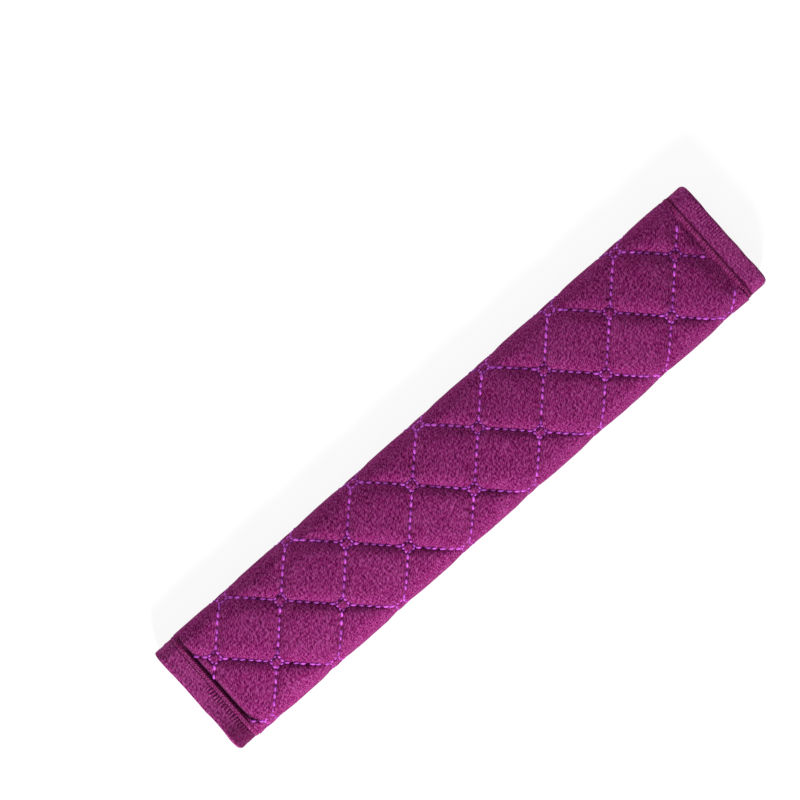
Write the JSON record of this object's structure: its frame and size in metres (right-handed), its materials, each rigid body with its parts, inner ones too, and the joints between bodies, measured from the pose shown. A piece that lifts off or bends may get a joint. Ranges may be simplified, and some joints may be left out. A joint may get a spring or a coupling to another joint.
{
  "type": "seat belt shoulder pad",
  "caption": "Quilted plush sleeve that wraps round a car's shoulder belt as a soft cushion, with bound ends and a hook-and-loop overlap underneath.",
  "frame": {"origin": "centre of the underside, on the plane that the closed pad rests on", "axes": "+X along the pad towards the end with the ribbed binding, +Y across it towards the fold of the inner flap, +Z out of the quilted front"},
  "size_m": [0.322, 0.0599, 0.0171],
  "materials": {
    "plush": "short velvety pile",
    "wadding": "loose white fibre",
    "lining": "smooth knit",
    "thread": "bright satin thread",
    "binding": "flat soft tape",
    "seam": "overlocked thread",
    "hook_tape": "woven tape with hooks",
    "loop_tape": "woven tape with brushed loops"
  },
  "bodies": {
    "root": {"plush_face": "plush", "wadding": "wadding", "belt_side_lining": "lining", "quilting_thread": "thread", "left_end_binding": "binding", "right_end_binding": "binding", "left_overlock_seam": "seam", "right_overlock_seam": "seam", "hook_strip": "hook_tape", "loop_strip": "loop_tape"}
  },
  "joints": []
}
